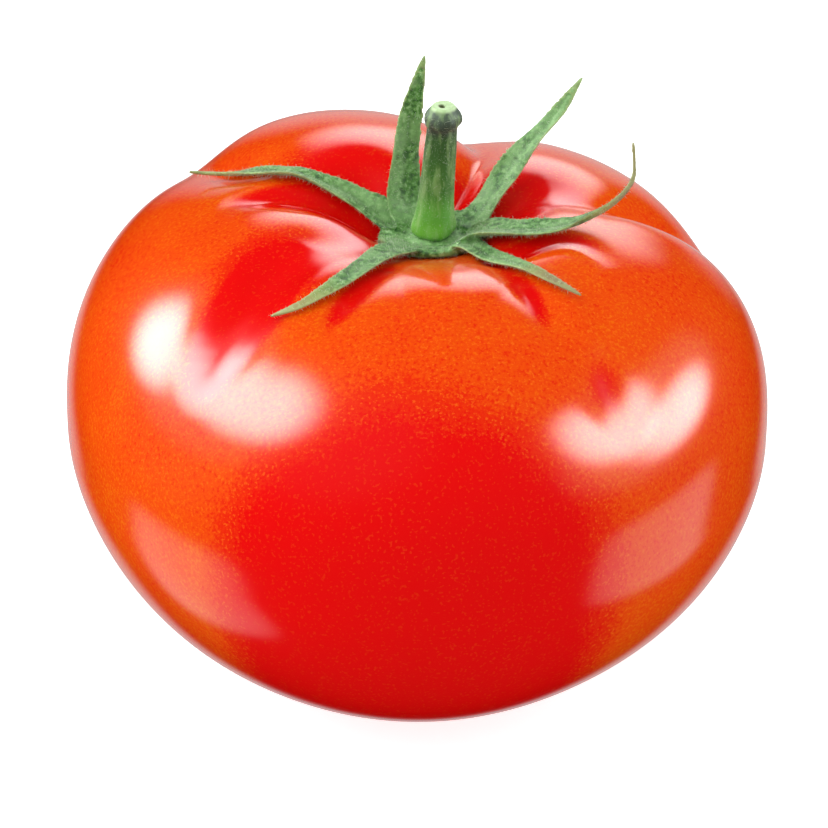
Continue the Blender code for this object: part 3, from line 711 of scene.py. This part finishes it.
def hair_material():
    """Pale green down, a little see-through, lighter and darker in patches."""
    made, tree, shader = new_material("leaf_down")
    place = node(tree, "ShaderNodeTexCoord").outputs["Object"]
    change = node(tree, "ShaderNodeTexNoise", Scale=700.0)
    link(tree, place, change.inputs["Vector"])
    colour = ramp(tree, change.outputs["Fac"], ((0.35, DARK_DOWN), (0.65, PALE_DOWN)))
    link(tree, colour, shader.inputs["Base Color"])
    shader.inputs["Roughness"].default_value = 0.5
    shader.inputs["Transmission Weight"].default_value = 0.25
    return made


def floor_material():
    """A plain white floor that shines a little by itself, so that it stays white in the picture."""
    made, _, shader = new_material("studio_floor")
    shader.inputs["Base Color"].default_value = (0.9, 0.9, 0.9, 1.0)
    shader.inputs["Roughness"].default_value = 0.9
    shader.inputs["Emission Color"].default_value = (1.0, 1.0, 1.0, 1.0)
    shader.inputs["Emission Strength"].default_value = 0.75
    return made


# The object

def make_fruit():
    low, high = (np.array(corner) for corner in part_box("fruit"))
    rings = fit_box(fruit_skin(FRUIT_COLUMNS, FRUIT_ROWS), low, high)
    points, faces = rings_with_poles(rings)
    fruit = add_piece("tomato_fruit", points, faces, "fruit")
    fruit.data.materials.append(skin_material())
    # deep red, partly the skin's own and partly painted shade
    add_values(fruit.data, "red_and_shade", red_and_shade_of(points, rings))
    away = np.hypot(points[:, 0], points[:, 1])
    add_values(fruit.data, "scar", (1 - ease(away, 0.8 * MM, 2.4 * MM)) * (points[:, 2] < 2 * MM))
    return rings


def red_and_shade_of(points, rings):
    """How deep the red is. On a broad patch on the lower front with an arched top and on the underside it
    is partly the skin's own deeper red and partly painted shade; on the walls of the hollow except in
    front, in the creases and at the listed places on the crown it is painted shade."""
    towards = unit(points - np.array([0.0, 0.0, 30 * MM]))
    # a broad patch on the lower front: partly the skin's own deeper red, partly painted shade where the
    # side lights don't reach
    turn = angle_between(np.rad2deg(np.arctan2(points[:, 1], points[:, 0])), 270.0) / 27.0
    rise = np.clip((points[:, 2] - 40 * MM) / (15 * MM), 0.0, None)
    patch = (1 - ease(turn ** 2 + rise ** 2, 0.35, 1.8)) * (points[:, 1] < 0)
    # the underside: partly the skin's own deeper red, partly painted shade
    under = ease(-towards[:, 2], 0.55, 0.8)
    away = np.hypot(points[:, 0] - rings[0, 0, 0], points[:, 1] - rings[0, 0, 1])
    azimuth = np.rad2deg(np.arctan2(points[:, 1] - rings[0, 0, 1], points[:, 0] - rings[0, 0, 0]))
    front = 1 - ease(np.abs(angle_between(azimuth, 278.0)), 25, 50)
    # painted shade on the walls of the hollow, except in front
    inner = (1 - ease(away, 9 * MM, 17 * MM)) * (1 - front)
    # painted shade in the creases
    crease_shade = ease(-course_relief(points[:, 0], points[:, 1]), 0.15 * MM, 0.55 * MM)
    upper = points[:, 2] > UPPER_PART
    # painted shade at the listed places on the crown that show no reflection
    places = [
        0.8 - 0.8 * ease(np.hypot(points[:, 0] - x, points[:, 1] - y) / radius, 0.3, 1.4)
        for x, y, radius in SHADE_PLACES
    ]
    crown = np.maximum.reduce([inner, 0.9 * crease_shade, *places]) * upper
    return np.clip(np.maximum.reduce([patch, under, crown]), 0.0, 1.0)


def add_values(mesh, name, values):
    """Store one number for each point of a mesh."""
    attribute = mesh.attributes.new(name, "FLOAT", "POINT")
    attribute.data.foreach_set("value", np.asarray(values, dtype=np.float32))


def mesh_points(mesh):
    points = np.empty(len(mesh.vertices) * 3)
    mesh.vertices.foreach_get("co", points)
    return points.reshape(-1, 3)


def mesh_normals(mesh):
    normals = np.empty(len(mesh.vertices) * 3)
    mesh.vertices.foreach_get("normal", normals)
    return normals.reshape(-1, 3)


def nearest_on_sepals(points, middles):
    """For each point, the nearest sepal's number, the share of its length there, and the distance."""
    best = np.full(len(points), np.inf)
    number = np.zeros(len(points), int)
    share = np.zeros(len(points))
    for index, middle in enumerate(middles):
        samples = middle[::3]
        gap = np.linalg.norm(points[:, None] - samples[None], axis=2)
        place = gap.argmin(axis=1)
        least = gap.min(axis=1)
        closer = least < best
        best = np.where(closer, least, best)
        number = np.where(closer, index, number)
        share = np.where(closer, place / (len(samples) - 1), share)
    return number, share, best


def make_calyx(rings):
    """Dish and sepals fused into one skin, with the numbers that its colours follow."""
    table = polar_heights(rings)
    centre = rings[0, 0]
    turns = np.linspace(0.0, 2 * np.pi, 72)
    seat_x = centre[0] + SEAT_RADIUS * np.cos(turns)
    seat_y = centre[1] + SEAT_RADIUS * np.sin(turns)
    seat = height_over(table, seat_x, seat_y).max() + SEAT_CLEARANCE
    root_height = seat + DISH_THICKNESS / 2
    shapes = [rings_with_poles(dish_rings(centre, table, seat))]
    middles = []
    for shape in SEPALS.values():
        shapes.append(rings_with_poles(sepal_rings(shape, centre, table, root_height)))
        middles.append(sepal_middle(shape[-1], centre, table, root_height))
    mesh = fused(*joined(shapes), VOXEL, SMOOTHING_PASSES)
    mesh.name = "tomato_calyx"
    points = mesh_points(mesh)
    number, share, distance = nearest_on_sepals(points, middles)
    dry_tip = np.array([shape[5] for shape in SEPALS.values()])[number]
    add_values(mesh, "dryness", dry_tip * ease(share, 0.45, 0.95))
    # painted shade along the midrib's fold, fading near the root and the tip
    rib = np.exp(-((distance / (0.45 * MM)) ** 4)) * ease(share, 0.05, 0.2) * (1 - ease(share, 0.6, 0.9))
    add_values(mesh, "midrib", 0.45 * rib)
    width = np.array([shape[0] for shape in SEPALS.values()])[number]
    blade = np.array([shape[1] for shape in SEPALS.values()])[number]
    half = width / 2 * np.clip(1 - share / blade, 0.0, 1.0) ** TAPER
    add_values(mesh, "edge", ease(distance, half - 0.35 * MM, half) * ease(share, 0.1, 0.25))
    mesh.shade_smooth()
    calyx = bpy.data.objects.new("tomato_calyx", mesh)
    bpy.context.scene.collection.objects.link(calyx)
    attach(calyx, BODY)
    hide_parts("calyx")
    mesh.materials.append(leaf_material())
    return calyx, np.array([centre[0], centre[1], seat + DISH_THICKNESS])


def make_stalk(seat_centre):
    rings = stalk_rings(seat_centre)
    points, faces = rings_with_poles(rings)
    stalk = add_piece("tomato_stalk", points, faces, "stem")
    along = (points[:, 2] - seat_centre[2]) / STALK_HEIGHT
    add_values(stalk.data, "along", along)
    axis = seat_centre[:2] + np.array([STALK_LEAN + PITH_OFFSET[0], PITH_OFFSET[1]])
    away = np.hypot(points[:, 0] - axis[0], points[:, 1] - axis[1])
    add_values(stalk.data, "pith", (1 - ease(away, 0.3 * MM, 0.55 * MM)) * ease(along, 0.94, 0.95))
    stalk.data.materials.append(stalk_material())
    return stalk


def make_hairs(name, grown_on, count, length, seed, keep):
    """Short pale hairs that stand on a piece at random places, most of them straight out."""
    draw = np.random.default_rng(seed)
    points, normals = mesh_points(grown_on.data), mesh_normals(grown_on.data)
    allowed = np.flatnonzero(keep(points))
    chosen = draw.choice(allowed, size=min(count, len(allowed)), replace=False)
    roots, out = points[chosen], normals[chosen]
    ahead = unit(out + HAIR_SPREAD * draw.normal(size=out.shape))
    lengths = length * draw.uniform(0.45, 1.0, len(roots))
    thickness = draw.uniform(*HAIR_THICKNESS, len(roots))
    droop = draw.uniform(0.0, HAIR_DROOP, len(roots))
    hairs, faces = hair_points(roots - out * 0.05 * MM, ahead, lengths, thickness, droop)
    made = add_piece(name, hairs, faces, None)
    made.data.materials.append(bpy.data.materials.get("leaf_down") or hair_material())
    return made


# The studio

def direction(azimuth, elevation):
    turn, lift = math.radians(azimuth), math.radians(elevation)
    return Vector((math.cos(lift) * math.cos(turn), math.cos(lift) * math.sin(turn), math.sin(lift)))


def softbox(name, azimuth, elevation, width, height, radiance, soft, oval):
    """A rectangular light that faces the fruit; radiance is how bright its middle looks in a
    reflection. Towards its rim it fades smoothly over the share soft, along ovals or, as a card,
    along rounded rectangles."""
    light = bpy.data.lights.new(name, "AREA")
    light.shape = "RECTANGLE"
    light.size, light.size_y = width, height
    light.energy = radiance * math.pi * width * height
    light.use_nodes = True
    tree = light.node_tree
    place = tree.nodes.new("ShaderNodeNewGeometry").outputs["Parametric"]
    steps = (("MULTIPLY_ADD", (2, 2, 0), (-1, -1, 0)), ("MULTIPLY", None, None), ("MULTIPLY", None, None))
    for operation, second, third in steps[:2] if oval else steps:
        step = tree.nodes.new("ShaderNodeVectorMath")
        step.operation = operation
        tree.links.new(place, step.inputs[0])
        if second:
            step.inputs[1].default_value, step.inputs[2].default_value = second, third
        else:
            tree.links.new(place, step.inputs[1])
        place = step.outputs["Vector"]
    total = tree.nodes.new("ShaderNodeVectorMath")
    total.operation = "DOT_PRODUCT"
    tree.links.new(place, total.inputs[0])
    total.inputs[1].default_value = (1, 1, 0)
    fade = tree.nodes.new("ShaderNodeMapRange")
    fade.interpolation_type = "SMOOTHSTEP"
    fade.inputs["From Min"].default_value = 1.0
    fade.inputs["From Max"].default_value = (1 - soft) ** (2 if oval else 4)
    tree.links.new(total.outputs["Value"], fade.inputs["Value"])
    tree.links.new(fade.outputs["Result"], tree.nodes["Emission"].inputs["Strength"])
    made = bpy.data.objects.new(name, light)
    bpy.context.scene.collection.objects.link(made)
    towards = direction(azimuth, elevation)
    made.location = Vector(CAMERA_TARGET) + towards * LIGHT_DISTANCE
    made.rotation_euler = towards.to_track_quat("Z", "Y").to_euler()
    return made


def make_floor():
    """A square floor under the fruit that is seen only directly, never in the skin."""
    mesh = bpy.data.meshes.new("studio_floor")
    reach = FLOOR_REACH
    corners = [(-reach, -reach, 0), (reach, -reach, 0), (reach, reach, 0), (-reach, reach, 0)]
    mesh.from_pydata(corners, [], [(0, 1, 2, 3)])
    mesh.materials.append(floor_material())
    floor = bpy.data.objects.new("studio_floor", mesh)
    bpy.context.scene.collection.objects.link(floor)
    floor.visible_glossy = False
    floor.visible_diffuse = False
    floor.visible_shadow = False


def make_lights():
    """Softboxes that show only as highlights, fills that light only the colours, and a white world."""
    for name, values in SOFTBOXES.items():
        softbox(name, *values).visible_diffuse = False
    for name, values in FILLS.items():
        softbox(name, *values).visible_glossy = False
    world = bpy.data.worlds.new("studio")
    world.use_nodes = True
    background = world.node_tree.nodes["Background"]
    background.inputs["Color"].default_value = (1.0, 1.0, 1.0, 1.0)
    background.inputs["Strength"].default_value = WORLD_STRENGTH
    world.cycles_visibility.glossy = False
    bpy.context.scene.world = world
    bpy.context.scene.view_settings.view_transform = "Standard"


def make_camera():
    lens = bpy.data.cameras.new("camera")
    lens.sensor_width = SENSOR
    lens.lens = SENSOR * FOCAL_PIXELS / PHOTO_SIDE
    lens.clip_start = 0.01
    camera = bpy.data.objects.new("camera", lens)
    bpy.context.scene.collection.objects.link(camera)
    towards = direction(270, CAMERA_HEIGHT_ANGLE)
    camera.location = Vector(CAMERA_TARGET) + towards * CAMERA_DISTANCE
    camera.rotation_euler = towards.to_track_quat("Z", "Y").to_euler()
    bpy.context.scene.camera = camera


make_floor()
make_lights()
make_camera()
fruit_rings = make_fruit()
tomato_calyx, stalk_seat = make_calyx(fruit_rings)
tomato_stalk = make_stalk(stalk_seat)
leaf_top = CAD_BOX[1][2] - BARE_TOP
stalk_top = stalk_seat[2] + BARE_CUT
make_hairs("calyx_down", tomato_calyx, CALYX_HAIRS, CALYX_HAIR_LENGTH, 11,
           lambda places: places[:, 2] < leaf_top)
make_hairs("stalk_down", tomato_stalk, STALK_HAIRS, STALK_HAIR_LENGTH, 12,
           lambda places: places[:, 2] < stalk_top)
